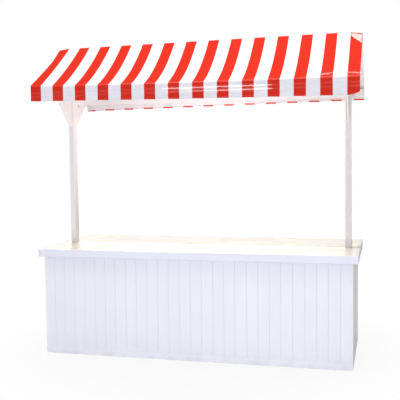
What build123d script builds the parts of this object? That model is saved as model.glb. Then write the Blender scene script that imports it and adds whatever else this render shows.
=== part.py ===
from build123d import *

import os

# Wooden market stall: a boarded counter with a post rising through each end of its top. The posts carry
# V-shaped heads, a ridge beam, rafters and two eave rails, and a canopy hangs over them.
# Millimetres. +X runs along the counter, +Y to the seller's side, +Z up. The origin is on the floor, under
# the middle. Pieces of the right-hand end are drawn first and mirrored for the left-hand end.

# ---- Counter
TOP_LENGTH = 2670.0  # over the edge trims
TOP_DEPTH = 1080.0
COUNTER_HEIGHT = 900.0  # floor to the front half of the top
TOP_OVERHANG = 40.0  # top past the boarded faces, all round
FRONT_TOP_THICKNESS = 18.0
REAR_TOP_THICKNESS = 26.0  # the rear half stands proud of the front half
TOP_JOINT_GAP = 4.0  # between the two halves
CUT_PAST = 1.0  # how far a cut runs past the faces it opens
TRIM_THICKNESS = 18.0
TRIM_HEIGHT = 62.0  # edge of the front half
TRIM_ROUND = 4.0
PANEL_THICKNESS = 15.0  # matchboarding
PLINTH_HEIGHT = 50.0
LEG_SIZE = 45.0
RAIL_THICKNESS = 21.0
RAIL_HEIGHT = 70.0
BEARER_THICKNESS = 45.0

# ---- Posts and their heads
POST_WIDTH = 47.0  # along X
POST_DEPTH = 70.0  # along Y
POST_ROUND = 3.0
POST_CLEARANCE = 1.0  # post in its notch in the top
POST_RISE = 1057.0  # above the front half of the top
TENON_WIDTH = 30.0
TENON_DEPTH = 40.0
TENON_LENGTH = 80.0
TENON_CLEARANCE = 0.5
CLEAT_REACH = 12.0
CLEAT_WIDTH = 30.0
CLEAT_FOOT = 12.0  # above the front half of the top
CLEAT_NOSE = 38.0
CLEAT_TIP = 75.0
HEAD_PLATE_THICKNESS = 12.0  # in a slot down the middle of the mast
HEAD_PLATE_HALF_WIDTH = 385.0  # at its top edge
HEAD_PLATE_HALF_FOOT = 60.0
HEAD_HOLE_DIAMETER = 38.0
HEAD_HOLE_OUT = 121.0  # from the post's middle to the seller's side
HEAD_HOLE_RISE = 204.0  # above the post

# ---- Roof rails and canopy
CANOPY_OVERHANG = 76.0  # past each end of the ridge beam, along X
CANOPY_DEPTH = 1160.0
EAVE_RISE = 305.0  # above the posts
ROOF_RISE = 408.0  # ridge above the eaves
CANOPY_SAG = 17.0  # at the middle of each slope
VALANCE_DROP = 127.0
FABRIC_THICKNESS = 6.0
FABRIC_SEAT = 0.3  # fabric off the timber that carries it
EAVE_RAIL_THICKNESS = 38.0
EAVE_RAIL_HEIGHT = 70.0
EAVE_RAIL_SETBACK = 7.0  # rail ends inside the canopy ends
RIDGE_BEAM_THICKNESS = 38.0
RIDGE_BEAM_HEIGHT = 58.0
RIDGE_BEAM_OVERHANG = 12.0  # past each post
RAFTER_DEPTH = 50.0  # beside the ridge beam
RAFTER_HEEL = 33.0  # length of its seat on the cross arm

# ---- Worked out from the sizes above
top_x = TOP_LENGTH / 2
top_y = TOP_DEPTH / 2
body_x = top_x - TOP_OVERHANG
body_y = top_y - TOP_OVERHANG
lining_x = body_x - PANEL_THICKNESS
lining_y = body_y - PANEL_THICKNESS
board_x = top_x - TRIM_THICKNESS
board_y = top_y - TRIM_THICKNESS
frame_top = COUNTER_HEIGHT - FRONT_TOP_THICKNESS
rail_low = frame_top - RAIL_HEIGHT
trim_low = COUNTER_HEIGHT - TRIM_HEIGHT
rear_top = frame_top + REAR_TOP_THICKNESS
joint_y = TOP_JOINT_GAP / 2
post_outer = lining_x - RAIL_THICKNESS
post_inner = post_outer - POST_WIDTH
post_y = POST_DEPTH / 2
post_top = COUNTER_HEIGHT + POST_RISE
mast_middle = (post_inner + post_outer) / 2
plate_inner = mast_middle - HEAD_PLATE_THICKNESS / 2
plate_outer = mast_middle + HEAD_PLATE_THICKNESS / 2
beam_x = post_outer + RIDGE_BEAM_OVERHANG
canopy_x = beam_x + CANOPY_OVERHANG
canopy_y = CANOPY_DEPTH / 2
fabric_y = canopy_y - FABRIC_THICKNESS
eave_height = post_top + EAVE_RISE
ridge_height = eave_height + ROOF_RISE
hem_height = eave_height - VALANCE_DROP
eave_rail_outer = fabric_y - FABRIC_SEAT
eave_rail_inner = eave_rail_outer - EAVE_RAIL_THICKNESS
ridge_beam_y = RIDGE_BEAM_THICKNESS / 2


def canopy_height(out):
    """Height of the canopy's upper face at a distance out from the ridge."""
    share = out / canopy_y
    chord = ridge_height - ROOF_RISE * share
    return chord - 4 * CANOPY_SAG * share * (1 - share)


def seat_height(out):
    """Height of timber that carries the canopy at a distance out from the ridge."""
    return canopy_height(out) - FABRIC_THICKNESS - FABRIC_SEAT


ridge_beam_low = seat_height(0) - RIDGE_BEAM_HEIGHT
eave_rail_top = seat_height(eave_rail_outer)
eave_rail_low = eave_rail_top - EAVE_RAIL_HEIGHT


def block(x, y, z):
    """A plain timber or board between (low, high) pairs along X, Y and Z."""
    (x0, x1), (y0, y1), (z0, z1) = x, y, z
    return Pos((x0 + x1) / 2, (y0 + y1) / 2, (z0 + z1) / 2) * Box(x1 - x0, y1 - y0, z1 - z0)


def along_x(outline, x):
    """A closed (Y, Z) outline pulled from one X to another."""
    return extrude(Plane.YZ.offset(x[0]) * make_face(outline), amount=x[1] - x[0])


def along_y(outline, y):
    """A closed (X, Z) outline pulled from one Y to another."""
    return extrude(Plane.XZ.offset(-y[1]) * make_face(outline), amount=y[1] - y[0])


def round_long_edges(solid, axis, radius):
    """Round every edge of a solid that runs along one axis."""
    return fillet(solid.edges().filter_by(axis), radius)


def counter_body():
    """Matchboarded sides, the plinth under them, corner legs and top rails."""
    length = (-body_x, body_x)
    between = (-lining_y, lining_y)
    boards = (PLINTH_HEIGHT, frame_top)
    plinth = (0, PLINTH_HEIGHT)
    parts = {}
    for side, sign in (("front", -1), ("rear", 1)):
        skin = sorted((sign * lining_y, sign * body_y))
        rail = sorted((sign * (lining_y - RAIL_THICKNESS), sign * lining_y))
        leg = sorted((sign * (lining_y - LEG_SIZE), sign * lining_y))
        rail_length = (-(lining_x - LEG_SIZE), lining_x - LEG_SIZE)
        parts[side + "_panel"] = block(length, skin, boards)
        parts[side + "_plinth"] = block(length, skin, plinth)
        parts[side + "_top_rail"] = block(rail_length, rail, (rail_low, frame_top))
        parts[side + "_right_leg"] = block((lining_x - LEG_SIZE, lining_x), leg, (0, frame_top))
    end_skin = (lining_x, body_x)
    rail_span = (-(lining_y - LEG_SIZE), lining_y - LEG_SIZE)
    parts["right_end_panel"] = block(end_skin, between, boards)
    parts["right_end_plinth"] = block(end_skin, between, plinth)
    parts["right_end_rail"] = block((post_outer, lining_x), rail_span, (rail_low, frame_top))
    bearer_y = BEARER_THICKNESS / 2
    bearer = block((-post_inner, post_inner), (-bearer_y, bearer_y), (rail_low, frame_top))
    parts["centre_bearer"] = bearer
    return parts


def post_notches():
    """What the two posts take out of the joint between the halves of the top."""
    gap = POST_CLEARANCE
    notch_y = (-post_y - gap, post_y + gap)
    notch_z = (frame_top - CUT_PAST, max(COUNTER_HEIGHT, rear_top) + CUT_PAST)
    right = block((post_inner - gap, post_outer + gap), notch_y, notch_z)
    return right + mirror(right, about=Plane.YZ)


def counter_top():
    """The two halves of the top and the trims that hide their edges."""
    length = (-board_x, board_x)
    front_y = (-board_y, -joint_y)
    rear_y = (joint_y, board_y)
    notches = post_notches()
    front_board = block(length, front_y, (frame_top, COUNTER_HEIGHT))
    rear_board = block(length, rear_y, (frame_top, rear_top))
    parts = {"front_top_board": front_board - notches, "rear_top_board": rear_board - notches}
    full = (-top_x, top_x)
    end = (board_x, top_x)
    front_z = (trim_low, COUNTER_HEIGHT)
    rear_z = (trim_low, rear_top)
    front_trim = block(full, (-top_y, -board_y), front_z)
    rear_trim = block(full, (board_y, top_y), rear_z)
    parts["front_edge_trim"] = round_outside(front_trim, Axis.Y, -1, Axis.X)
    parts["rear_edge_trim"] = round_outside(rear_trim, Axis.Y, 1, Axis.X)
    parts["right_front_edge_trim"] = round_outside(block(end, front_y, front_z), Axis.X, 1, Axis.Y)
    parts["right_rear_edge_trim"] = round_outside(block(end, rear_y, rear_z), Axis.X, 1, Axis.Y)
    return parts


def round_outside(trim, outward, sign, run):
    """Round the two long edges of a trim's outer face."""
    faces = trim.faces().sort_by(outward)
    outer = faces[-1] if sign > 0 else faces[0]
    return fillet(outer.edges().filter_by(run), TRIM_ROUND)


def tenon(grow):
    """The tongue under the mast, or with room to grow, the mortise that takes it."""
    half_x = TENON_WIDTH / 2 + grow
    half_y = TENON_DEPTH / 2 + grow
    x = (mast_middle - half_x, mast_middle + half_x)
    return block(x, (-half_y, half_y), (post_top - TENON_LENGTH - grow, post_top))


def post():
    """A post from the floor to the foot of its head, mortised at the top."""
    bar = block((post_inner, post_outer), (-post_y, post_y), (0, post_top))
    return round_long_edges(bar, Axis.Z, POST_ROUND) - tenon(TENON_CLEARANCE)


def cleat():
    """A small three-cornered cleat on the outer side of a post, just above the top."""
    foot = COUNTER_HEIGHT + CLEAT_FOOT
    nose = COUNTER_HEIGHT + CLEAT_NOSE
    tip = COUNTER_HEIGHT + CLEAT_TIP
    outline = Polyline(
        (post_outer, foot), (post_outer + CLEAT_REACH, nose), (post_outer, tip), close=True
    )
    return along_y(outline, (-CLEAT_WIDTH / 2, CLEAT_WIDTH / 2))


def mast():
    """The forked mast over a post: a long inner cheek, a short outer one and a tongue below both."""
    cheek_y = (-post_y, post_y)
    inner_cheek = block((post_inner, plate_inner), cheek_y, (post_top, ridge_beam_low))
    outer_cheek = block((plate_outer, post_outer), cheek_y, (post_top, eave_rail_low))
    return inner_cheek + outer_cheek + tenon(0)


def head_plate():
    """The V-shaped plate between a mast's cheeks, with one round hole through its rear wing."""
    outline = Polyline(
        (-HEAD_PLATE_HALF_FOOT, post_top),
        (HEAD_PLATE_HALF_FOOT, post_top),
        (HEAD_PLATE_HALF_WIDTH, eave_rail_top),
        (-HEAD_PLATE_HALF_WIDTH, eave_rail_top),
        close=True,
    )
    plate = along_x(outline, (plate_inner, plate_outer))
    hole_at = Pos(mast_middle, HEAD_HOLE_OUT, post_top + HEAD_HOLE_RISE) * Rot(0, 90, 0)
    return plate - hole_at * Cylinder(HEAD_HOLE_DIAMETER / 2, 2 * HEAD_PLATE_THICKNESS)


def rafter(sign):
    """One rafter, from the ridge beam down to its seat on the end of the cross arm."""

    def top(out):
        return (sign * out, seat_height(out))

    ridge_end = top(ridge_beam_y)
    heel = (sign * (eave_rail_inner - RAFTER_HEEL), eave_rail_top)
    toe = (sign * eave_rail_inner, eave_rail_top)
    below_ridge_end = (ridge_end[0], ridge_end[1] - RAFTER_DEPTH)
    middle = top((ridge_beam_y + eave_rail_inner) / 2)
    outline = [
        ThreePointArc(ridge_end, middle, top(eave_rail_inner)),
        Polyline(top(eave_rail_inner), toe, heel, below_ridge_end, ridge_end),
    ]
    return along_x(outline, (plate_outer, post_outer))


def stall_frame():
    """Posts, cleats, masts, head plates, arms and rafters of the right-hand end, and the rails."""
    arm_z = (eave_rail_low, eave_rail_top)
    rail_x = canopy_x - EAVE_RAIL_SETBACK
    parts = {
        "right_post": post(),
        "right_post_cleat": cleat(),
        "right_mast": mast(),
        "right_head_plate": head_plate(),
        "right_cross_arm": block((plate_outer, post_outer), (-eave_rail_inner, eave_rail_inner), arm_z),
    }
    for side, sign in (("front", -1), ("rear", 1)):
        rail_y = sorted((sign * eave_rail_inner, sign * eave_rail_outer))
        parts[side + "_eave_rail"] = block((-rail_x, rail_x), rail_y, arm_z)
        parts[side + "_right_rafter"] = rafter(sign)
    shoulder = seat_height(ridge_beam_y)
    outline = Polyline(
        (-ridge_beam_y, ridge_beam_low),
        (ridge_beam_y, ridge_beam_low),
        (ridge_beam_y, shoulder),
        (0, seat_height(0)),
        (-ridge_beam_y, shoulder),
        close=True,
    )
    parts["ridge_beam"] = along_x(outline, (-beam_x, beam_x))
    return parts


def slope(sign):
    """One sagging slope of the canopy, mitred to its valance."""

    def point(out, drop=0.0):
        return (sign * out, canopy_height(out) - drop)

    middle = canopy_y / 2
    outline = [
        ThreePointArc(point(0), point(middle), point(canopy_y)),
        Line(point(canopy_y), point(fabric_y, FABRIC_THICKNESS)),
        ThreePointArc(
            point(fabric_y, FABRIC_THICKNESS),
            point(middle, FABRIC_THICKNESS),
            point(0, FABRIC_THICKNESS),
        ),
        Line(point(0, FABRIC_THICKNESS), point(0)),
    ]
    return along_x(outline, (-canopy_x, canopy_x))


def valance(sign):
    """The strip of canopy that hangs straight down from one eave."""
    outline = Polyline(
        (sign * canopy_y, hem_height),
        (sign * canopy_y, eave_height),
        (sign * fabric_y, canopy_height(fabric_y) - FABRIC_THICKNESS),
        (sign * fabric_y, hem_height),
        close=True,
    )
    return along_x(outline, (-canopy_x, canopy_x))


def canopy():
    """Two slopes and two valances, open at both gables."""
    return {
        "canopy_front_slope": slope(-1),
        "canopy_rear_slope": slope(1),
        "canopy_front_valance": valance(-1),
        "canopy_rear_valance": valance(1),
    }


def add_left_hand(parts):
    """Mirror every right-hand piece to the left-hand end."""
    for name in [name for name in parts if "right" in name]:
        parts[name.replace("right", "left")] = mirror(parts[name], about=Plane.YZ)
    return parts


stall = add_left_hand({**counter_body(), **counter_top(), **stall_frame(), **canopy()})
os.makedirs("parts", exist_ok=True)
for name, shape in stall.items():
    export_step(shape, f"parts/{name}.step")
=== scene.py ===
"""Looks of a wooden market stall: matchboarded counter, gloss top, framed heads and a striped canopy.

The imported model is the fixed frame, in metres: +X along the counter, +Y to the seller, +Z up. Each
sub-assembly is a class that builds its pieces in that frame and dresses them.
"""

import logging
import math
import random
from collections.abc import Sequence
from dataclasses import dataclass, field
from enum import Enum
from functools import cache

import bmesh
import bpy
from mathutils import Matrix, Vector


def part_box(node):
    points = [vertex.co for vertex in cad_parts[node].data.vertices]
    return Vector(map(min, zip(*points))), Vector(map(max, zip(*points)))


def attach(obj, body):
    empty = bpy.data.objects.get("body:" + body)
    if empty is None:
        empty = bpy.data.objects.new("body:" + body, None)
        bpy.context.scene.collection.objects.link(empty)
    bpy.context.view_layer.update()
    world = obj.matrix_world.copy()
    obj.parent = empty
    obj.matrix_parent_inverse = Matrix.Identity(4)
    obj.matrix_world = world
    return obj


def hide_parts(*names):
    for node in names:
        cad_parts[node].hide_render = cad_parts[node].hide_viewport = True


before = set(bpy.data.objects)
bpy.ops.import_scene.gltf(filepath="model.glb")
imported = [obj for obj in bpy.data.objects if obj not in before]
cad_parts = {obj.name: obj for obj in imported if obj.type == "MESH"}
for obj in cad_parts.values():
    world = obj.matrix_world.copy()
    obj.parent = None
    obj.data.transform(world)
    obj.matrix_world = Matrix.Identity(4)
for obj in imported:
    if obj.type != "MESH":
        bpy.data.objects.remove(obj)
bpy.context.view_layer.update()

BODY = "root"
WHITE = (1.0, 1.0, 1.0, 1.0)
LOG = logging.getLogger("market_stall")

Pair = tuple[float, float]
Colour = tuple[float, float, float]
Point = tuple[float, float, float]
Socket = bpy.types.NodeSocket
Group = bpy.types.NodeTree
Piece = bpy.types.Object
Material = bpy.types.Material


def display(red: int, green: int, blue: int) -> Colour:
    """Turn a display colour into the linear one that shaders take.

    Args:
        red: Red channel, 0 to 255.
        green: Green channel, 0 to 255.
        blue: Blue channel, 0 to 255.

    Returns:
        The linear colour.
    """

    def linear(channel: int) -> float:
        """Undo the display curve of one channel."""
        share = channel / 255
        return share / 12.92 if share <= 0.04045 else ((share + 0.055) / 1.055) ** 2.4

    return linear(red), linear(green), linear(blue)


def between(low: float, high: float, share: float) -> float:
    """The value at a share of the way from low to high."""
    return low + (high - low) * share


def clamped(share: float) -> float:
    """A share held between 0 and 1."""
    return min(1.0, max(0.0, share))


# ---- shader graphs


class Graph:
    """A shader node tree with short calls that add and join nodes."""

    def __init__(self, tree: bpy.types.NodeTree) -> None:
        """Wrap a tree."""
        self.tree = tree

    def add(self, kind: str, inputs: dict | None = None, **settings: object) -> bpy.types.Node:
        """Add a node.

        Args:
            kind: Node type, without its ShaderNode prefix.
            inputs: Values or output sockets, by input name or number.
            **settings: Node properties.

        Returns:
            The node.
        """
        node = self.tree.nodes.new("ShaderNode" + kind)
        for name, value in settings.items():
            setattr(node, name, value)
        for key, value in (inputs or {}).items():
            self.feed(node.inputs[key], value)
        return node

    def feed(self, socket: Socket, value: object) -> None:
        """Join an output to an input, or set the input's own value.

        Args:
            socket: The input.
            value: An output, or a plain value.
        """
        if isinstance(value, Socket):
            self.tree.links.new(value, socket)
        else:
            socket.default_value = value

    def use(self, group: Group, **inputs: object) -> bpy.types.NodeOutputs:
        """Place an effect with its own values, and return its outputs."""
        return self.add("Group", inputs, node_tree=group).outputs

    def where(self) -> Socket:
        """The place on the piece, in metres."""
        return self.add("TexCoord").outputs["Object"]

    def axis(self, name: str) -> Socket:
        """One coordinate of the place on the piece."""
        return self.add("SeparateXYZ", {0: self.where()}).outputs[name]

    def layer(self, name: str) -> Socket:
        """A value that the mesh carries at its points."""
        return self.add("Attribute", attribute_name=name).outputs["Fac"]

    def vector(self, operation: str, *values: object) -> bpy.types.Node:
        """A Vector Math node."""
        return self.add("VectorMath", dict(enumerate(values)), operation=operation)

    def math(self, operation: str, a: object, b: object = 0.0, clamp: bool = False) -> Socket:
        """The result of a Math node."""
        return self.add("Math", {0: a, 1: b}, operation=operation, use_clamp=clamp).outputs[0]

    def times(self, a: object, b: object, clamp: bool = False) -> Socket:
        """The product of two values."""
        return self.math("MULTIPLY", a, b, clamp)

    def plus(self, a: object, b: object, clamp: bool = False) -> Socket:
        """The sum of two values."""
        return self.math("ADD", a, b, clamp)

    def ease(self, value: object, low: float, high: float, start: float = 0.0, end: float = 1.0) -> Socket:
        """Map low..high to start..end with soft ends, clamped."""
        inputs = {"Value": value, 1: low, 2: high, 3: start, 4: end}
        return self.add("MapRange", inputs, interpolation_type="SMOOTHSTEP").outputs[0]

    def spread(self, noise: Socket, start: float, end: float) -> Socket:
        """Map the range that a noise mostly keeps to, 0.3 to 0.7, to start..end."""
        return self.ease(noise, 0.3, 0.7, start, end)

    def noise(self, vector: object, scale: float, detail: float = 3.0, rough: float = 0.5) -> Socket:
        """The value of a 3-D noise."""
        inputs = {"Vector": vector, "Scale": scale, "Detail": detail, "Roughness": rough}
        return self.add("TexNoise", inputs).outputs["Fac"]

    def blend(self, factor: object, a: object, b: object, mode: str = "MIX") -> Socket:
        """A colour mixed from two.

        Args:
            factor: Share of the second colour.
            a: The first colour.
            b: The second colour.
            mode: How they mix.

        Returns:
            The mixed colour.
        """
        node = self.add("Mix", data_type="RGBA", blend_type=mode)
        for socket, value in zip((node.inputs[0], node.inputs[6], node.inputs[7]), (factor, a, b)):
            self.feed(socket, (*value, 1.0) if isinstance(value, tuple) else value)
        return node.outputs[2]

    def dim(self, colour: object, value: Socket) -> Socket:
        """A colour multiplied by a value."""
        grey = self.add("CombineColor", {0: value, 1: value, 2: value}).outputs[0]
        return self.blend(1.0, colour, grey, "MULTIPLY")


class Surface(Graph):
    """A new material with its Principled shader."""

    def __init__(self, name: str) -> None:
        """Start the material.

        Args:
            name: Its name.
        """
        self.material = bpy.data.materials.new(name)
        self.material.use_nodes = True
        super().__init__(self.material.node_tree)
        self.shader = next(n for n in self.tree.nodes if n.type == "BSDF_PRINCIPLED")

    def paint(self, inputs: dict[str, object]) -> None:
        """Join or set inputs of the shader."""
        for name, value in inputs.items():
            self.feed(self.shader.inputs[name], value)

    def emboss(self, height: Socket, strength: float, distance: float) -> None:
        """Give the surface a shallow relief."""
        bump = self.add("Bump", {"Strength": strength, "Distance": distance, "Height": height})
        self.paint({"Normal": bump.outputs[0]})


class Effect(Graph):
    """A node group with named inputs and outputs, to be placed in materials."""

    def __init__(self, name: str, inputs: dict[str, object], outputs: Sequence[str]) -> None:
        """Make the group's sockets.

        Args:
            name: Name of the group.
            inputs: Default by input name: a number, or three numbers for a vector.
            outputs: Names of the outputs, which are values.
        """
        super().__init__(bpy.data.node_groups.new(name, "ShaderNodeTree"))
        new_socket = self.tree.interface.new_socket
        for label, value in inputs.items():
            kind = "NodeSocketVector" if isinstance(value, tuple) else "NodeSocketFloat"
            new_socket(name=label, in_out="INPUT", socket_type=kind).default_value = value
        for label in outputs:
            new_socket(name=label, in_out="OUTPUT", socket_type="NodeSocketFloat")
        self.inside = self.tree.nodes.new("NodeGroupInput").outputs
        self.result = self.tree.nodes.new("NodeGroupOutput").inputs

    def finish(self, **values: Socket) -> Group:
        """Join each value to the output of that name, and return the group.

        Args:
            **values: Output sockets inside the group, by name.

        Returns:
            The group.
        """
        for label, value in values.items():
            self.feed(self.result[label], value)
        return self.tree

    def amount(self, a: Socket, b: Socket) -> Socket:
        """Where two masks meet, times the group's Amount, clamped."""
        return self.times(self.times(a, b), self.inside["Amount"], clamp=True)


@cache
def timber_grain() -> Group:
    """Growth rings and fibres that run along one axis of a timber.

    Returns:
        The group.
    """
    effect = Effect("timber_grain", {"Run": (1.0, 1.0, 0.1)}, ("Rings", "Fibres"))
    run = effect.vector("MULTIPLY", effect.where(), effect.inside["Run"]).outputs[0]
    bend = effect.noise(run, scale=9.0, detail=2.0)
    pulled = effect.vector("MULTIPLY_ADD", bend, bend, run).outputs[0]
    rings = effect.add(
        "TexWave",
        {"Vector": pulled, "Scale": 24.0, "Distortion": 2.5, "Detail": 2.0},
        wave_type="RINGS",
        rings_direction="SPHERICAL",
    ).outputs["Fac"]
    return effect.finish(Rings=rings, Fibres=effect.noise(run, scale=520.0, detail=4.0, rough=0.65))


@cache
def brush_marks() -> Group:
    """Shallow ridges that a paint brush leaves along a timber, and the slow swell of thick paint.

    Returns:
        The group.
    """
    effect = Effect("brush_marks", {"Run": (1.0, 1.0, 0.1)}, ("Ridges", "Swell"))
    run = effect.vector("MULTIPLY", effect.where(), effect.inside["Run"]).outputs[0]
    ridges = effect.noise(run, scale=260.0, detail=3.0, rough=0.6)
    return effect.finish(Ridges=ridges, Swell=effect.noise(effect.where(), scale=14.0, detail=2.0))


@cache
def edge_wear() -> Group:
    """Where an arris has been rubbed: the rounded normal leaves the flat one, broken up by noise.

    Returns:
        The group.
    """
    effect = Effect("edge_wear", {"Reach": 0.002, "Amount": 0.5}, ("Mask",))
    rounded = effect.add("Bevel", {"Radius": effect.inside["Reach"]}, samples=4).outputs[0]
    flat = effect.add("NewGeometry").outputs["Normal"]
    agreement = effect.vector("DOT_PRODUCT", rounded, flat).outputs["Value"]
    arris = effect.ease(agreement, 0.995, 0.9)
    patches = effect.ease(effect.noise(effect.where(), scale=11.0, detail=4.0, rough=0.7), 0.5, 0.68)
    return effect.finish(Mask=effect.amount(arris, patches))


@cache
def settled_grime() -> Group:
    """Scuffs and dust that gather towards the floor, with a faint cloud over the rest.

    Returns:
        The group.
    """
    effect = Effect("settled_grime", {"Reach": 0.25, "Amount": 0.5}, ("Mask", "Cloud"))
    share = effect.math("DIVIDE", effect.axis("Z"), effect.inside["Reach"])
    low = effect.ease(share, 1.0, 0.0)
    patches = effect.ease(effect.noise(effect.where(), scale=7.0, detail=6.0, rough=0.65), 0.35, 0.75)
    cloud = effect.noise(effect.where(), scale=1.7, detail=3.0, rough=0.6)
    return effect.finish(Mask=effect.amount(low, patches), Cloud=cloud)


@cache
def cloth_stripes() -> Group:
    """Stripes across the length of the stall: 1 on a coloured band, 0 between bands.

    Returns:
        The group.
    """
    inputs = {"Start": 0.0, "Pitch": 0.2, "Share": 0.47, "Blur": 0.0006}
    effect = Effect("cloth_stripes", inputs, ("Mask",))
    along = effect.math("SUBTRACT", effect.axis("X"), effect.inside["Start"])
    step = effect.math("FRACT", effect.math("DIVIDE", along, effect.inside["Pitch"]))
    middle = effect.times(effect.inside["Share"], 0.5)
    off = effect.math("ABSOLUTE", effect.math("SUBTRACT", step, middle))
    within = effect.times(effect.math("SUBTRACT", middle, off), effect.inside["Pitch"])
    mask = effect.plus(effect.math("DIVIDE", within, effect.inside["Blur"]), 0.5, clamp=True)
    return effect.finish(Mask=mask)


@cache
def coated_weave() -> Group:
    """The scrim of a coated cloth: fine threads along and across, under a skin that swells a little.

    Returns:
        The group.
    """
    effect = Effect("coated_weave", {"Threads": 700.0}, ("Height", "Cloud"))
    turn = effect.times(effect.inside["Threads"], 2 * math.pi)
    warp = effect.math("SINE", effect.times(effect.axis("X"), turn))
    weft = effect.math("SINE", effect.times(effect.layer("drop"), turn))
    height = effect.ease(effect.times(warp, weft), -1.0, 1.0)
    cloud = effect.noise(effect.where(), scale=5.0, detail=4.0, rough=0.6)
    return effect.finish(Height=height, Cloud=cloud)


@cache
def weld_line() -> Group:
    """A narrow band of smoother, thicker coating at one height, as a hot weld leaves it.

    Returns:
        The group.
    """
    effect = Effect("weld_line", {"Height": 2.0, "Half": 0.005}, ("Mask",))
    off = effect.math("ABSOLUTE", effect.math("SUBTRACT", effect.axis("Z"), effect.inside["Height"]))
    share = effect.math("DIVIDE", off, effect.inside["Half"])
    return effect.finish(Mask=effect.ease(share, 1.2, 0.8))


# ---- finishes


class Run(Enum):
    """Axis along which a timber's grain runs, as the squeeze of its pattern."""

    X = (0.07, 1.0, 1.0)
    Y = (1.0, 0.07, 1.0)
    Z = (1.0, 1.0, 0.07)


class Shade(Enum):
    """Colours of the stall, as a shader takes them."""

    BOARD_WHITE = display(240, 240, 243)
    FRAME_WHITE = display(238, 232, 230)
    # Two copies of the one frame paint: the left one lighter as painted light, the right one darker as
    # painted shade.
    FRAME_WHITE_LEFT = display(247, 241, 240)
    FRAME_WHITE_RIGHT = display(230, 224, 222)
    TOP_WHITE = display(246, 240, 227)
    # The trims' white: the boards' paint, made darker as painted shade.
    TRIM_WHITE = display(230, 230, 236)
    # Yellowed white of the top: for handled paint, and for the painted warm reflection in its patches.
    OLD_WHITE = display(236, 216, 186)
    UNDERCOAT = display(196, 182, 160)
    GRIME = display(150, 140, 126)
    GAP = display(176, 174, 176)
    SOFTWOOD_PALE = display(214, 182, 132)
    SOFTWOOD_DARK = display(176, 132, 82)
    CLOTH_RED = display(219, 50, 34)
    CLOTH_WHITE = display(240, 239, 243)
    LINING_WHITE = display(242, 236, 236)
    # Pink of the lining where the red bands lie: painted light coming through the cloth.
    LINING_PINK = display(239, 224, 222)


@dataclass(frozen=True)
class PaintedTimber:
    """Paint brushed over planed softwood, with softened grain, rubbed arrises and scuffs near the floor."""

    name: str
    run: Run
    colour: Shade = Shade.FRAME_WHITE
    roughness: float = 0.36
    wear: float = 0.2
    wear_reach: float = 0.0025
    grime: float = 0.15
    grime_reach: float = 0.22
    grime_roughness: float = 0.5
    cloud: float = 0.02
    board_tone: float = 0.0
    gap_depth: float = 0.0
    rings: float = 0.35
    swell: float = 2.0
    relief: float = 0.25
    relief_depth: float = 0.0006

    def material(self) -> Material:
        """Build the material.

        Returns:
            The material.
        """
        surface = Surface(self.name)
        grain = surface.use(timber_grain(), Run=self.run.value)
        marks = surface.use(brush_marks(), Run=self.run.value)
        wear = surface.use(edge_wear(), Reach=self.wear_reach, Amount=self.wear)
        grime = surface.use(settled_grime(), Reach=self.grime_reach, Amount=self.grime)
        value = surface.spread(grime["Cloud"], 1 - self.cloud, 1.0)
        if self.board_tone:
            tone = surface.ease(surface.layer("tone"), 0.0, 1.0, 1 - self.board_tone, 1.0)
            value = surface.times(value, tone)
        colour = surface.dim(self.colour.value, value)
        if self.gap_depth:
            gap = surface.times(surface.layer("gap"), self.gap_depth)
            colour = surface.blend(gap, colour, Shade.GAP.value)
        colour = surface.blend(wear["Mask"], colour, Shade.UNDERCOAT.value)
        colour = surface.blend(grime["Mask"], colour, Shade.GRIME.value)
        streaks = surface.spread(marks["Ridges"], self.roughness - 0.04, self.roughness + 0.06)
        rough = surface.plus(streaks, surface.times(grime["Mask"], self.grime_roughness))
        surface.paint({"Base Color": colour, "Roughness": rough})
        height = surface.plus(surface.times(grain["Rings"], self.rings), marks["Ridges"])
        height = surface.plus(height, surface.times(marks["Swell"], self.swell))
        surface.emboss(height, self.relief, self.relief_depth)
        return surface.material


@dataclass(frozen=True)
class GlossTop:
    """Thick gloss paint on the counter's top: level and softly reflective, with warm patches, more towards
    the left end, that are partly yellowed paint and partly painted warm reflection.
    """

    name: str = "gloss_top_paint"
    roughness: float = 0.2
    streaks: float = 0.04
    yellowing_and_warm_reflection: float = 0.25
    warmer_from: float = -0.2
    warmest_at: float = -1.25
    handled: float = 0.15
    handled_full: float = -0.5
    handled_end: float = -0.25
    relief: float = 0.05
    relief_depth: float = 0.0008
    specular: float = 0.2
    coat: float = 0.4
    coat_roughness: float = 0.3

    def material(self) -> Material:
        """Build the material.

        Returns:
            The material.
        """
        surface = Surface(self.name)
        marks = surface.use(brush_marks(), Run=Run.X.value)
        drawn_out = surface.vector("MULTIPLY", surface.where(), (0.5, 1.6, 1.0)).outputs[0]
        # Warm patches, stronger towards the left end: partly yellowed paint, partly painted warm reflection.
        warm_patches = surface.ease(surface.noise(drawn_out, scale=2.6, detail=4.0, rough=0.6), 0.5, 0.72)
        warmer_to_left = surface.ease(surface.axis("X"), self.warmer_from, self.warmest_at, 0.25, 1.0)
        handled = surface.ease(surface.axis("Y"), self.handled_full, self.handled_end, self.handled, 0.0)
        yellow = surface.plus(surface.times(surface.times(warm_patches, warmer_to_left), self.yellowing_and_warm_reflection), handled)
        worn = surface.noise(surface.where(), scale=3.0, detail=4.0, rough=0.6)
        worn = surface.spread(worn, self.roughness - 0.05, self.roughness + 0.07)
        streaks = surface.ease(marks["Ridges"], 0.5, 0.8, 0.0, self.streaks)
        surface.paint({
            "Base Color": surface.blend(yellow, Shade.TOP_WHITE.value, Shade.OLD_WHITE.value),
            "Roughness": surface.plus(streaks, worn),
            "Specular IOR Level": self.specular,
            "Coat Weight": self.coat,
            "Coat Roughness": self.coat_roughness,
        })
        surface.emboss(marks["Swell"], self.relief, self.relief_depth)
        return surface.material


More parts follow.
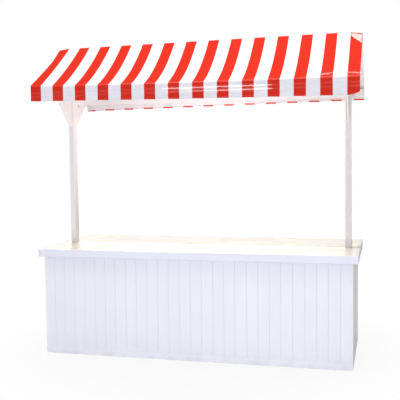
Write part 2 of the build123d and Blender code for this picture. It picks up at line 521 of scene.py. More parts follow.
@dataclass(frozen=True)
class RawTimber:
    """Bare or stained timber with its rings and fibres showing."""

    name: str
    run: Run
    rings: float = 0.7
    fibres: float = 0.3
    roughness: float = 0.7
    dust: float = 0.5
    dust_reach: float = 0.15
    relief: float = 0.4
    relief_depth: float = 0.0005

    def material(self) -> Material:
        """Build the material.

        Returns:
            The material.
        """
        surface = Surface(self.name)
        grain = surface.use(timber_grain(), Run=self.run.value)
        dust = surface.use(settled_grime(), Reach=self.dust_reach, Amount=self.dust)["Mask"]
        fibres = surface.ease(grain["Fibres"], 0.35, 0.75, 0.0, self.fibres)
        darker = surface.plus(surface.times(grain["Rings"], self.rings), fibres)
        colour = surface.blend(darker, Shade.SOFTWOOD_PALE.value, Shade.SOFTWOOD_DARK.value)
        surface.paint({
            "Base Color": surface.blend(dust, colour, Shade.GRIME.value),
            "Roughness": surface.spread(grain["Fibres"], self.roughness - 0.08, self.roughness + 0.1),
        })
        surface.emboss(grain["Fibres"], self.relief, self.relief_depth)
        return surface.material


@dataclass(frozen=True)
class BandedCloth:
    """What the two sides of the canopy share: the places of their bands."""

    name: str
    start: float
    pitch: float
    share: float

    def bands(self, surface: Surface, blur: float) -> Socket:
        """The mask of the coloured bands."""
        inputs = {"Start": self.start, "Pitch": self.pitch, "Share": self.share, "Blur": blur}
        return surface.use(cloth_stripes(), **inputs)["Mask"]


@dataclass(frozen=True)
class StripedCloth(BandedCloth):
    """The outer, coated side of the canopy: red and white bands, with shine where it is rubbed or welded."""

    welds: tuple[float, ...]
    blur: float = 0.0006
    cloud: float = 0.03
    roughness: float = 0.34
    thread_roughness: float = 0.03
    coat: float = 0.05
    coat_roughness: float = 0.03

    def material(self) -> Material:
        """Build the material.

        Returns:
            The material.
        """
        surface = Surface(self.name)
        bands = self.bands(surface, self.blur)
        weave = surface.use(coated_weave())
        colour = surface.blend(bands, Shade.CLOTH_WHITE.value, Shade.CLOTH_RED.value)
        faded = surface.ease(weave["Cloud"], 0.35, 0.7, 1 - self.cloud, 1.0)
        rough = surface.spread(weave["Cloud"], self.roughness - 0.05, self.roughness + 0.06)
        shiny = surface.layer("sheen")
        for height in self.welds:
            shiny = surface.math("MAXIMUM", shiny, surface.use(weld_line(), Height=height)["Mask"])
        surface.paint({
            "Base Color": surface.dim(colour, faded),
            "Roughness": surface.plus(rough, surface.times(weave["Height"], self.thread_roughness)),
            "Coat Weight": surface.ease(shiny, 0.0, 1.0, self.coat, 1.0),
            "Specular IOR Level": 0.0,
            "Coat Roughness": self.coat_roughness,
        })
        return surface.material


@dataclass(frozen=True)
class ClothLining(BandedCloth):
    """The inner side of the canopy: pale and duller, with the light through the red bands painted on as a
    faint pink tint.
    """

    blur: float = 0.004
    roughness: float = 0.5
    relief: float = 0.25
    relief_depth: float = 0.0003

    def material(self) -> Material:
        """Build the material.

        Returns:
            The material.
        """
        surface = Surface(self.name)
        weave = surface.use(coated_weave())
        # Painted light through the cloth: a faint pink where the red bands lie.
        light_through_bands = surface.times(self.bands(surface, self.blur), surface.spread(weave["Cloud"], 0.4, 0.6))
        surface.paint({
            "Base Color": surface.blend(light_through_bands, Shade.LINING_WHITE.value, Shade.LINING_PINK.value),
            "Roughness": surface.spread(weave["Cloud"], self.roughness, self.roughness + 0.12),
        })
        surface.emboss(weave["Height"], self.relief, self.relief_depth)
        return surface.material


# ---- mesh tools


def linked(name: str, data: bpy.types.ID) -> Piece:
    """An object for a mesh, lamp or camera, in the scene.

    Args:
        name: Its name.
        data: Its mesh, lamp or camera.

    Returns:
        The object.
    """
    made = bpy.data.objects.new(name, data)
    bpy.context.scene.collection.objects.link(made)
    return made


def settle(piece: Piece, slot: str, *nodes: str) -> Piece:
    """Give a piece its body, hide the CAD nodes that it stands for, and report it.

    Args:
        piece: The piece, in place.
        slot: The record's material slot. Not used.
        *nodes: CAD nodes that it replaces.

    Returns:
        The same piece.
    """
    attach(piece, BODY)
    if nodes:
        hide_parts(*nodes)
    LOG.info("%s: %d faces", piece.name, len(piece.data.polygons))
    return piece


def dress(node: str, material: Material) -> None:
    """Give a carried-over CAD node its finish.

    Args:
        node: The node's name.
        material: Its finish.
    """
    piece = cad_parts[node]
    if not piece.material_slots:
        piece.data.materials.append(material)
    for place in piece.material_slots:
        place.material = material
    LOG.info("%s: dressed in %s", node, material.name)


def circle(radius: float, sides: int) -> list[Pair]:
    """Corners of a regular polygon round the origin."""
    turns = (2 * math.pi * i / sides for i in range(sides))
    return [(radius * math.cos(turn), radius * math.sin(turn)) for turn in turns]


@dataclass
class Shell:
    """Points and faces of a piece in the making, and the values that its points carry."""

    points: list[Point] = field(default_factory=list)
    faces: list[tuple[int, ...]] = field(default_factory=list)
    layers: dict[str, list[float]] = field(default_factory=dict)

    def skin(self, rings: Sequence[Sequence[Point]], tip: Point | None = None) -> None:
        """Add a closed skin over rings of equally many points.

        Args:
            rings: The rings, from one end to the other.
            tip: The point that closes the last ring. Without it a flat face does.
        """
        base, count = len(self.points), len(rings[0])
        top = base + (len(rings) - 1) * count
        steps = [(i, (i + 1) % count) for i in range(count)]
        for ring in rings:
            self.points += ring
        for low in range(base, top, count):
            self.faces += [(low + i, low + j, low + count + j, low + count + i) for i, j in steps]
        self.faces.append(tuple(base + i for i in reversed(range(count))))
        if tip:
            self.points.append(tip)
            self.faces += [(top + i, top + j, top + count) for i, j in steps]
        else:
            self.faces.append(tuple(top + i for i in range(count)))

    def piece(self, name: str, *materials: Material) -> Piece:
        """Make the linked object, with the normals of each closed shell turned outward.

        Args:
            name: The piece's name.
            *materials: Its finishes, by material number.

        Returns:
            The piece.
        """
        mesh = bpy.data.meshes.new(name)
        mesh.from_pydata(self.points, [], self.faces)
        for material in materials:
            mesh.materials.append(material)
        mesh.validate()
        for label, values in self.layers.items():
            mesh.attributes.new(label, "FLOAT", "POINT").data.foreach_set("value", values)
        shape = bmesh.new()
        shape.from_mesh(mesh)
        bmesh.ops.recalc_face_normals(shape, faces=shape.faces)
        shape.to_mesh(mesh)
        shape.free()
        return linked(name, mesh)


def eased(node: str, radius: float, material: Material, slot: str) -> Piece:
    """Stand for a square-cut CAD timber with one whose arrises are sanded round.

    Args:
        node: The CAD node.
        radius: How far the rounding reaches from each arris.
        material: Its finish.
        slot: The record's material slot.

    Returns:
        The piece.
    """
    shape = bmesh.new()
    shape.from_mesh(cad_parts[node].data)
    bmesh.ops.remove_doubles(shape, verts=shape.verts, dist=1e-5)
    flat = math.radians(0.5)
    bmesh.ops.dissolve_limit(shape, angle_limit=flat, verts=shape.verts, edges=shape.edges)
    square = math.radians(25)
    arrises = [e for e in shape.edges if e.is_manifold and e.calc_face_angle() > square]
    bevel = {"offset": radius, "segments": 2, "profile": 0.5, "affect": "EDGES", "clamp_overlap": True}
    bmesh.ops.bevel(shape, geom=arrises, **bevel)
    mesh = bpy.data.meshes.new(node + "_eased")
    shape.to_mesh(mesh)
    shape.free()
    mesh.materials.append(material)
    return settle(linked(node + "_eased", mesh), slot, node)


# ---- counter


class Side(Enum):
    """A side of the counter: the axis it runs along, the axis it faces, and which way it faces."""

    FRONT = (0, 1, -1)
    REAR = (0, 1, 1)
    LEFT_END = (1, 0, -1)
    RIGHT_END = (1, 0, 1)


@dataclass
class BoardedSide:
    """One side of the counter in tongue-and-groove matchboards."""

    side: Side
    finish: Material
    seed: int
    cover: float = 0.0914
    uneven: float = 0.004
    set_back: float = 0.0007
    bow: float = 0.0004
    chamfer: float = 0.0024
    chamfer_depth: float = 0.0015
    chamfer_round: float = 0.0006
    joint: float = 0.0005
    tongue: float = 0.005
    tongue_depth: float = 0.0055
    tongue_thickness: float = 0.004
    clearance: float = 0.0003
    cup: float = 0.0005
    rim_dirt: float = 0.9
    fading_dirt: float = 0.12
    levels: tuple[float, ...] = (0.0, 0.25, 0.5, 0.75, 1.0)
    pin_radius: float = 0.0017
    pin_sides: int = 10
    pin_rings: tuple[Pair, ...] = ((1.0, 0.0012), (0.8, 0.0001))
    pin_tip: float = 0.0002
    pin_ends: Pair = (0.028, 0.05)
    pin_strays: Pair = (0.003, 0.004)

    def __post_init__(self) -> None:
        """Take the side's place from its CAD panel."""
        self.name = self.side.name.lower()
        self.node = self.name + "_panel"
        low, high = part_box(self.node)
        self.along, self.out, self.sign = self.side.value
        self.start, self.end = low[self.along], high[self.along]
        self.face = high[self.out] if self.sign > 0 else low[self.out]
        self.thickness = high[self.out] - low[self.out]
        self.foot, self.head = low.z, high.z
        self.chance = random.Random(self.seed)

    def at(self, along: float, depth: float, height: float) -> Point:
        """A point of the side.

        Args:
            along: Place along the side.
            depth: How far in from its face.
            height: Height above the floor.

        Returns:
            The point.
        """
        point = [0.0, 0.0, height]
        point[self.along] = along
        point[self.out] = self.face - self.sign * depth
        return tuple(point)

    def joints(self) -> list[float]:
        """Places of the joints between boards, both ends among them.

        Returns:
            The places in order.
        """
        count = round((self.end - self.start) / self.cover)
        widths = [1 + self.chance.uniform(-1, 1) * self.uneven / self.cover for _ in range(count)]
        scale = (self.end - self.start) / sum(widths)
        places = [self.start]
        for width in widths:
            places.append(places[-1] + width * scale)
        return places

    def section(self, left: float, right: float, set_back: float) -> list[tuple[float, float, float]]:
        """A board's outline seen from above.

        Args:
            left: Place of its left edge.
            right: Place of its right edge.
            set_back: How far it sits behind the side's face.

        Returns:
            Corners as (along, depth, share of gap dirt).
        """
        first, last = left + self.joint / 2, right - self.joint / 2
        groove = first + self.tongue + self.clearance
        front, back = self.tongue_depth - self.clearance, self.tongue_depth + self.tongue_thickness
        soft, rim, fading = self.chamfer_round, self.rim_dirt, self.fading_dirt
        outline = [
            (first, self.thickness, 1.0),
            (first, back + self.clearance, 1.0),
            (groove, back + self.clearance, 1.0),
            (groove, front, 1.0),
            (first, front, 1.0),
            (first, self.chamfer_depth, rim),
            (first + self.chamfer - soft, soft * 0.4, fading),
            (first + self.chamfer + soft, 0.0, 0.0),
            (between(first, last, 0.5), self.cup, 0.0),
            (last - self.chamfer - soft, 0.0, 0.0),
            (last - self.chamfer + soft, soft * 0.4, fading),
            (last, self.chamfer_depth, rim),
            (last, self.tongue_depth, 1.0),
            (last + self.tongue, self.tongue_depth, 1.0),
            (last + self.tongue, back, 1.0),
            (last, back, 1.0),
            (last, self.thickness, 1.0),
        ]
        return [(a, min(d + set_back, self.thickness), g) for a, d, g in outline]

    def boards(self) -> Piece:
        """Build every board of the side as one mesh.

        Returns:
            The piece.
        """
        shell = Shell(layers={"tone": [], "gap": []})
        self.places = self.joints()
        for left, right in zip(self.places, self.places[1:]):
            tone = self.chance.random()
            outline = self.section(left, right, self.chance.uniform(0.0, self.set_back))
            bow = self.chance.uniform(-self.bow, self.bow)
            if right == self.places[-1]:
                outline = [corner for corner in outline if corner[0] <= right]
            rings = []
            for level in self.levels:
                height = between(self.foot, self.head, level)
                push = max(0.0, bow * math.sin(math.pi * level) + self.bow)
                pushed = [(a, d if d > self.tongue_depth else d + push) for a, d, _ in outline]
                rings.append([self.at(along, depth, height) for along, depth in pushed])
            shell.skin(rings)
            shell.layers["tone"] += [tone] * len(outline) * len(self.levels)
            shell.layers["gap"] += [gap for _, _, gap in outline] * len(self.levels)
        return settle(shell.piece(self.name + "_boards", self.finish), "painted_boards", self.node)

    def pins(self) -> Piece:
        """Painted-over pin heads, two to a board near its head, its middle and its foot.

        Returns:
            The piece.
        """
        shell = Shell()
        above_foot, below_head = self.pin_ends
        rows = (self.foot + above_foot, between(self.foot, self.head, 0.5), self.head - below_head)
        stray_along, stray_up = self.pin_strays
        for left, right in zip(self.places, self.places[1:]):
            for row in rows:
                for share in (0.25, 0.75):
                    along = between(left, right, share) + self.chance.uniform(-stray_along, stray_along)
                    height = row + self.chance.uniform(-stray_up, stray_up)
                    rings = []
                    for size, depth in self.pin_rings:
                        corners = circle(self.pin_radius * size, self.pin_sides)
                        rings.append([self.at(along + a, depth, height + b) for a, b in corners])
                    shell.skin(rings, tip=self.at(along, self.pin_tip, height))
        return settle(shell.piece(self.name + "_board_pins", self.finish), "painted_boards")


@dataclass
class Counter:
    """The boarded counter: sides, plinth, hidden frame and the gloss top in two halves."""

    arris: float = 0.0012
    first_seed: int = 31
    bead: float = 0.008
    ramp: float = 0.034
    joint_end: float = 0.0015
    joint_steps: int = 40
    joint_waves: tuple[Pair, ...] = ((0.12, 11.0), (0.08, 37.0))
    joint_waist: Pair = (0.55, 0.35)
    joint_lap: float = 0.0012
    joint_sunk: Pair = (0.0002, 0.0001)
    joint_root: float = 0.004

    def build(self) -> None:
        """Build and dress every piece of the counter."""
        paint = PaintedTimber("board_paint", Run.Z, Shade.BOARD_WHITE, board_tone=0.008, gap_depth=0.15)
        boards = paint.material()
        low_grime = {"grime": 0.25, "grime_reach": 0.06}
        plinths = [
            PaintedTimber("plinth_paint_" + name, run, Shade.BOARD_WHITE, **low_grime).material()
            for name, run in (("along", Run.X), ("across", Run.Y))
        ]
        for seed, side in enumerate(Side, start=self.first_seed):
            boarded = BoardedSide(side, boards, seed)
            boarded.boards()
            boarded.pins()
            eased(boarded.name + "_plinth", self.arris, plinths[boarded.along], "painted_boards")
        self.dress_frame()
        self.build_top()

    def dress_frame(self) -> None:
        """Dress the hidden legs, rails and bearer in bare softwood."""
        bare = {run: RawTimber("bare_softwood_" + run.name.lower(), run).material() for run in Run}
        for end in ("left", "right"):
            dress(end + "_end_rail", bare[Run.Y])
            for face in ("front", "rear"):
                dress(f"{face}_{end}_leg", bare[Run.Z])
        for node in ("front_top_rail", "rear_top_rail", "centre_bearer"):
            dress(node, bare[Run.X])

    def joint_paint(self, finish: Material) -> Piece:
        """Paint that fills the joint between the halves of the top, and the step up to the rear half.

        Args:
            finish: Its finish.

        Returns:
            The piece.
        """
        front_low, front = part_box("front_top_board")
        rear_low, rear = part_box("rear_top_board")
        post_low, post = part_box("right_post")
        end = self.joint_end
        runs = (
            (front_low.x + end, -post.x - end, self.ramp),
            (-post_low.x + end, post_low.x - end, self.ramp),
            (post.x + end, front.x - end, self.bead),
        )
        shell = Shell()
        root = front.z - self.joint_root
        (waist_out, waist_up), (sunk, top_sunk) = self.joint_waist, self.joint_sunk
        for left, right, width in runs:
            rings = []
            for i in range(self.joint_steps + 1):
                x = between(left, right, i / self.joint_steps)
                reach = width * sum((size * math.sin(rate * x) for size, rate in self.joint_waves), 1.0)
                foot = (front.y - reach, front.z - sunk)
                waist = (between(foot[0], rear_low.y, waist_out), between(front.z, rear.z, waist_up))
                top = (rear_low.y + self.joint_lap, rear.z - top_sunk)
                section = (foot, waist, top, (top[0], root), (front.y - sunk, root))
                rings.append([(x, y, z) for y, z in section])
            shell.skin(rings)
        return settle(shell.piece("top_joint_paint", finish), "painted_top")

    def build_top(self) -> None:
        """Build the two halves of the top and dress the trims round them."""
        gloss = GlossTop().material()
        # The trims wear the boards' paint, made darker as painted shade.
        paint = PaintedTimber("edge_trim_paint", Run.X, Shade.TRIM_WHITE, roughness=0.3, wear=0.1, grime=0.0)
        edge = paint.material()
        self.joint_paint(gloss)
        for face in ("front", "rear"):
            eased(face + "_top_board", self.arris, gloss, "painted_top")
            dress(face + "_edge_trim", edge)
            for end in ("left", "right"):
                dress(f"{end}_{face}_edge_trim", edge)


# ---- posts and roof


@dataclass
class Heads:
    """Both posts with their cleats, masts, head plates, cross arms, rafters and screws."""

    arris: float = 0.0012
    screw_radius: float = 0.0045
    screw_sides: int = 16
    screw_rings: tuple[Pair, ...] = ((1.0, 0.0), (0.92, 0.0007), (0.55, 0.0011), (0.22, 0.0011))
    screw_slot: float = 0.0002
    arm_screws: tuple[float, ...] = (0.08, 0.17, 0.31)
    mast_screws: tuple[Pair, ...] = ((-0.016, 0.03), (0.016, 0.05), (0.0, 0.12), (0.0, 0.27))

    def build(self) -> None:
        """Build and dress the pieces of both ends."""
        rails = PaintedTimber("frame_paint_rails", Run.X, Shade.FRAME_WHITE).material()
        # Each end's frame gets its own copy of the one paint: lighter at the left as painted light, darker at
        # the right as painted shade.
        for end, shade in (("left", Shade.FRAME_WHITE_LEFT), ("right", Shade.FRAME_WHITE_RIGHT)):
            across, upright = (
                PaintedTimber(f"frame_paint_{end}_{run.name.lower()}", run, shade).material()
                for run in (Run.Y, Run.Z)
            )
            dress(end + "_post", upright)
            for part in ("post_cleat", "mast", "head_plate"):
                eased(f"{end}_{part}", self.arris, upright, "painted_frame")
            for node in (end + "_cross_arm", f"front_{end}_rafter", f"rear_{end}_rafter"):
                eased(node, self.arris, across, "painted_frame")
            self.screws(end, upright)
        for node in ("front_eave_rail", "rear_eave_rail", "ridge_beam"):
            eased(node, self.arris, rails, "painted_frame")

    def screws(self, end: str, finish: Material) -> Piece:
        """Painted-over screw heads on the inner faces: plate to cross arm, and mast to plate.

        Args:
            end: The end of the stall, left or right.
            finish: Their finish.

        Returns:
            The piece.
        """
        inward = 1 if end == "left" else -1
        inner = max if inward > 0 else min
        plate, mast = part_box(end + "_head_plate"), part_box(end + "_mast")
        plate_face, mast_face = (inner(low.x, high.x) for low, high in (plate, mast))
        row = between(*(corner.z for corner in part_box(end + "_cross_arm")), 0.5)
        spots = [(plate_face, side * out, row) for side in (-1, 1) for out in self.arm_screws]
        spots += [(mast_face, out, plate[0].z + rise) for out, rise in self.mast_screws]
        shell = Shell()
        for face, out, height in spots:
            rings = []
            for size, proud in self.screw_rings:
                corners = circle(size * self.screw_radius, self.screw_sides)
                rings.append([(face + inward * proud, out + a, height + b) for a, b in corners])
            shell.skin(rings, tip=(face + inward * self.screw_slot, out, height))
        return settle(shell.piece(end + "_head_screws", finish), "painted_frame")


# ---- canopy


@dataclass
class Canopy:
    """One coated cloth over the ridge beam and both eave rails, hemmed at its two long edges.

    The lines of the eaves and hems are given from the left gable edge to the right one.
    """

    bands: int = 27
    band_share: float = 0.47
    thickness: float = 0.001
    clear: float = 0.0006
    columns: int = 190
    gable_columns: int = 14
    # The ridge fold and the slopes
    ridge_round: float = 0.005
    ridge_rise: float = 0.0028
    ridge_lean: float = 0.0153
    ridge_drops: Pair = (0.009, 0.014)
    frame_sag: float = 0.017
    sag_middle: float = 0.043
    sag_end: float = 0.006
    sag_reach: float = 0.35
    sag_past: float = 0.03
    waviness: float = 0.0012
    wave_rate: float = 5.1
    wave_shift: float = 0.7
    # The loose ends past the rafters. A facet is its crease's reach at the gable edge, and how steep it is
    loose_lead: float = 0.02
    facet_start: float = 0.02
    facet_ease: float = 0.13
    facet: Pair = (0.15, 0.12)
    slack_facet: Pair = (0.085, 0.42)
    # The arched crease above the right end of the front eave
    crease_start: float = 0.98
    crease_ease: float = 0.1
    crease_middle: float = 1.19
    crease_half: float = 0.19
    crease_inset: float = 0.022
    crease_arch: float = 0.024
    crease_lift: float = 0.012
    crease_spread: float = 0.07
    crease_power: float = 1.3
    rubbed: float = 0.007
    rubbed_start: float = 1.0
    rubbed_ease: float = 0.05
    # The shine of the slack facet: from how loose a place on, and over which shares of the crease's reach
    shine_from: float = 0.12
    shine_span: Pair = (0.15, 1.01)
    # The eave folds
    fold_set: float = 0.006
    fold_sheen: float = 0.6
    eave_line: Pair = (0.0169, -0.0055)
    eave_hang: float = 0.0072
    eave_hang_full: Pair = (0.12, 0.6)
    rear_eave: float = 0.001
    # The valances and their hems
    hem_line: Pair = (0.016, -0.009)
    hem_hang: float = 0.007
    hem_hang_full: float = 0.55
    rear_hem_line: Pair = (0.001, 0.031)
    hem_ripple: float = 0.0012
    hem_round: float = 0.0016
    hem_turn: float = 0.012
    corner_reach: float = 0.1
    corner_lift: float = 0.024
    corner_flare: float = 0.014
    flutter_from: float = 0.62
    flutters: Pair = (0.018, 0.006)
    flutter_rates: Pair = (3.7, 31.0)
    flutter_shift: float = 1.3
    rear_crease: Pair = (0.03, 0.093)
    rear_flare: float = 0.32
    weld_drops: Pair = (0.045, 0.074)
    # How finely a section is cut
    facet_cuts: tuple[float, ...] = (0.0, 0.08, 0.18, 0.32, 0.5, 0.68, 0.84, 0.95, 1.0, 1.05)
    slope_from: float = 1.15
    slope_short: float = 0.04
    slope_cuts: int = 22
    crease_cuts: tuple[float, ...] = (0.024, 0.012, 0.004, 0.0)
    past_rubbed: float = 0.003
    eave_cuts: int = 3
    fold_cuts: int = 6
    valance_cuts: int = 8
    hem_cuts: int = 4
    # The stitches
    stitch: float = 0.0036
    stitch_pitch: float = 0.0055
    stitch_inset: float = 0.003
    stitch_half: float = 0.0004

    def __post_init__(self) -> None:
        """Take the canopy's size from its CAD slopes and valances."""
        low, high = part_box("canopy_front_slope")
        valance_low, valance_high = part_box("canopy_front_valance")
        self.half, self.depth = high.x, -low.y
        self.ridge, self.eave, self.hem = high.z, valance_high.z, valance_low.z
        self.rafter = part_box("right_cross_arm")[1].x
        self.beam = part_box("ridge_beam")[1]
        self.loose_from = self.rafter - self.loose_lead
        pairs = (self.bands - 1) / 2 + self.band_share
        self.pitch = 2 * self.half / pairs

    def share_along(self, x: float) -> float:
        """Share of the length, 0 at the left gable edge and 1 at the right one."""
        return (x + self.half) / (2 * self.half)

    def loose(self, x: float) -> float:
        """How loose the cloth is past the rafters: 0 where it starts and 1 at the gable edge."""
        return max(0.0, (abs(x) - self.loose_from) / (self.half - self.loose_from))

    def corner(self, x: float) -> float:
        """Share of the way across the front right corner: 0 where it starts and 1 at the gable edge."""
        return max(0.0, (x - self.half + self.corner_reach) / self.corner_reach)

    def ridge_height(self, x: float) -> float:
        """Height of the ridge fold, which drops a little towards the gable edges."""
        lean = self.ridge_rise + self.ridge_lean * x / (2 * self.half)
        return self.ridge + lean - self.ridge_drops[x > 0] * self.loose(x)

    def eave_height(self, x: float, side: int) -> float:
        """Height of the eave fold. The front one falls to the right, and hangs low left of its middle.

        Args:
            x: Place along the stall.
            side: -1 at the front, 1 at the rear.

        Returns:
            The height.
        """
        if side > 0:
            return self.eave + self.rear_eave
        share = self.share_along(x)
        first, last = self.eave_hang_full
        hang = self.eave_hang * min(1.0, share / first) * min(1.0, (1 - share) / (1 - last))
        return self.eave + between(*self.eave_line, share) - hang

    def hem_height(self, x: float, side: int) -> float:
        """Height of the hem, with the front corner that turns up and the rear hem that climbs.

        Args:
            x: Place along the stall.
            side: -1 at the front, 1 at the rear.

        Returns:
            The height.
        """
        share = self.share_along(x)
        ripple = self.hem_ripple * math.cos(2 * math.pi * (x + self.half) / self.pitch)
        if side > 0:
            return self.hem + between(*self.rear_hem_line, share) + ripple
        hang = self.hem_hang * min(1.0, share / self.hem_hang_full)
        lift = self.corner_lift * self.corner(x) ** 2
        return self.hem + between(*self.hem_line, share) - hang + 0.5 * ripple + lift

    def sag(self, x: float) -> float:
        """Depth of the sag at the middle of a slope, least where the rafters hold the cloth."""
        reach = max(0.0, self.rafter + self.sag_past - abs(x))
        return between(self.sag_end, self.sag_middle, 1 - math.exp(-reach / self.sag_reach))

    def droop(self, x: float, side: int) -> Pair:
        """The crease where the loose end of a slope hangs lowest.

        Args:
            x: Place along the stall.
            side: -1 at the front, 1 at the rear.

        Returns:
            The crease's distance out from the ridge, and how far the cloth drops there.
        """
        loose = self.loose(x)
        reach, tilt = self.slack_facet if x > 0 and side < 0 else self.facet
        crease = between(self.facet_start, reach, loose)
        return crease, tilt * crease * min(1.0, loose / self.facet_ease)

    def slope_height(self, x: float, out: float, side: int) -> float:
        """Height of the cloth on a slope.

        Args:
            x: Place along the stall.
            out: Distance out from the ridge.
            side: -1 at the front, 1 at the rear.

        Returns:
            The height of its upper face.
        """
        eased_out = math.hypot(out, self.ridge_round) - self.ridge_round
        share = eased_out / self.depth
        height = between(self.ridge_height(x), self.eave_height(x, side), share)
        height -= 4 * self.sag(x) * share * (1 - share)
        crease, drop = self.droop(x, side)
        tent = out / crease if out < crease else max(0.0, (self.depth - out) / (self.depth - crease))
        height -= drop * tent
        wave = math.sin(self.wave_rate * x + self.wave_shift * side)
        height += self.waviness * wave * math.sin(math.pi * share) ** 2
        if abs(x) < self.beam.x + self.clear and out < self.beam.y + self.clear:
            height = max(height, self.over_beam(out))
        return height + (self.eave_lift(x, out) if side < 0 else 0.0)

    def over_beam(self, out: float) -> float:
        """The least height that clears the ridge beam, whose top falls away as the CAD slopes do."""
        fall = (self.ridge - self.eave + 4 * self.frame_sag) / self.depth
        return self.beam.z - fall * out + math.hypot(1.0, fall) * (self.thickness + self.clear)

    def eave_crease(self, x: float) -> float:
        """Where the front slope's second crease runs: an arch just above the eave at the right-hand end."""
        arch = max(0.0, 1 - ((x - self.crease_middle) / self.crease_half) ** 2)
        return self.depth - self.crease_inset - self.crease_arch * arch

    def eave_lift(self, x: float, out: float) -> float:
        """How far the cloth is lifted towards that crease.

        Args:
            x: Place along the stall.
            out: Distance out from the ridge.

        Returns:
            The lift.
        """
        strength = clamped((x - self.crease_start) / self.crease_ease)
        line = self.eave_crease(x)
        spread = self.crease_spread if out < line else self.depth - line
        return self.crease_lift * strength * max(0.0, 1 - abs(out - line) / spread) ** self.crease_power

    def sheen(self, x: float, y: float, z: float) -> float:
        """How far the coating is rubbed shiny: at the eave folds, the ridge's slack right end and the crease.

        Args:
            x: Place along the stall.
            y: Place across it.
            z: Height.

        Returns:
            0 for the plain coating, 1 where it shines most.
        """
        bend = 0.9 * self.fold_set
        if abs(y) > self.depth - bend and z > self.eave_height(x, -1 if y < 0 else 1) - bend:
            return self.fold_sheen
        facet = self.droop(x, -1)[0]
        near, far = (share * facet for share in self.shine_span)
        if x > 0 and self.loose(x) > self.shine_from and near < -y < far:
            return 1.0
        line, margin = self.eave_crease(x), 0.001
        on_crease = line - margin < -y < line + self.rubbed + margin
        return clamped((x - self.rubbed_start) / self.rubbed_ease) if on_crease else 0.0

    def lean_out(self, x: float, share: float, side: int) -> float:
        """How far a valance stands out from its plane.

        Args:
            x: Place along the stall.
            share: 0 at the eave fold, 1 at the hem.
            side: -1 at the front, 1 at the rear.

        Returns:
            The distance outward.
        """
        (slow, quick), (slow_rate, quick_rate) = self.flutters, self.flutter_rates
        flutter = slow * math.sin(slow_rate * x + self.flutter_shift * side)
        flutter += quick * math.sin(quick_rate * x)
        out = flutter * max(0.0, share - self.flutter_from) ** 2
        if side < 0:
            return out + self.corner_flare * self.corner(x) ** 2 * share**2
        crease = between(*self.rear_crease, share) - self.half
        return out + self.rear_flare * max(0.0, crease - x) * share

    def half_section(self, x: float, side: int) -> list[Pair]:
        """The outer face from the ridge to the turned-up hem, on one side.

        Args:
            x: Place along the stall.
            side: -1 at the front, 1 at the rear.

        Returns:
            Points as (out from the ridge, height).
        """
        crease, line = self.droop(x, side)[0], self.eave_crease(x)
        first, last = crease * self.slope_from, line - self.slope_short
        steps = [crease * share for share in self.facet_cuts]
        steps += [between(first, last, i / self.slope_cuts) for i in range(self.slope_cuts + 1)]
        steps += [line - short for short in self.crease_cuts]
        steps += [line + self.rubbed, line + self.rubbed + self.past_rubbed]
        first, last = steps[-1], self.depth - self.fold_set
        steps += [between(first, last, i / self.eave_cuts) for i in range(1, self.eave_cuts + 1)]
        section = [(out, self.slope_height(x, out, side)) for out in steps]
        eave, hem = self.eave_height(x, side), self.hem_height(x, side)
        foot = hem + self.hem_round
        top, corner, bottom = section[-1], (self.depth, eave), (self.depth, eave - self.fold_set)
        for t in (i / self.fold_cuts for i in range(1, self.fold_cuts)):
            ends = zip(top, corner, bottom)
            section.append(tuple((1 - t) ** 2 * a + 2 * t * (1 - t) * b + t * t * c for a, b, c in ends))
        for share in (i / self.valance_cuts for i in range(self.valance_cuts + 1)):
            section.append((self.depth + self.lean_out(x, share, side), between(bottom[1], foot, share)))
        edge = section[-1][0] - self.hem_round
        for turn in (math.pi * i / self.hem_cuts for i in range(1, self.hem_cuts + 1)):
            section.append((edge + self.hem_round * math.cos(turn), foot - self.hem_round * math.sin(turn)))
        inner = edge - self.hem_round
        return section + [(inner, between(foot, hem + self.hem_turn, share)) for share in (0.5, 1.0)]

    def section(self, x: float) -> list[Pair]:
        """The whole outer face at one place, as (y, z) from the rear hem to the front hem.

        Args:
            x: Place along the stall.

        Returns:
            The points.
        """
        rear = [(out, z) for out, z in reversed(self.half_section(x, 1))]
        front = [(-out, z) for out, z in self.half_section(x, -1)[1:]]
        return rear + front

    def inner(self, section: list[Pair]) -> list[Pair]:
        """The inner face: the outer one moved in by the cloth's thickness.

        Args:
            section: The outer face, as (y, z).

        Returns:
            The points, as (y, z).
        """
        moved = []
        for i, (y, z) in enumerate(section):
            before, after = section[max(i - 1, 0)], section[min(i + 1, len(section) - 1)]
            run_y, run_z = after[0] - before[0], after[1] - before[1]
            size = math.hypot(run_y, run_z)
            moved.append((y - self.thickness * run_z / size, z + self.thickness * run_y / size))
        return moved

    def stations(self) -> list[float]:
        """Places of the columns along the stall, closer together past the rafters.

        Returns:
            The places in order.
        """
        last, tail = self.columns - 1, self.gable_columns
        body = [between(-self.rafter, self.rafter, i / last) for i in range(last + 1)]
        right = [between(self.rafter, self.half, i / tail) for i in range(1, tail + 1)]
        return [-x for x in reversed(right)] + body + right

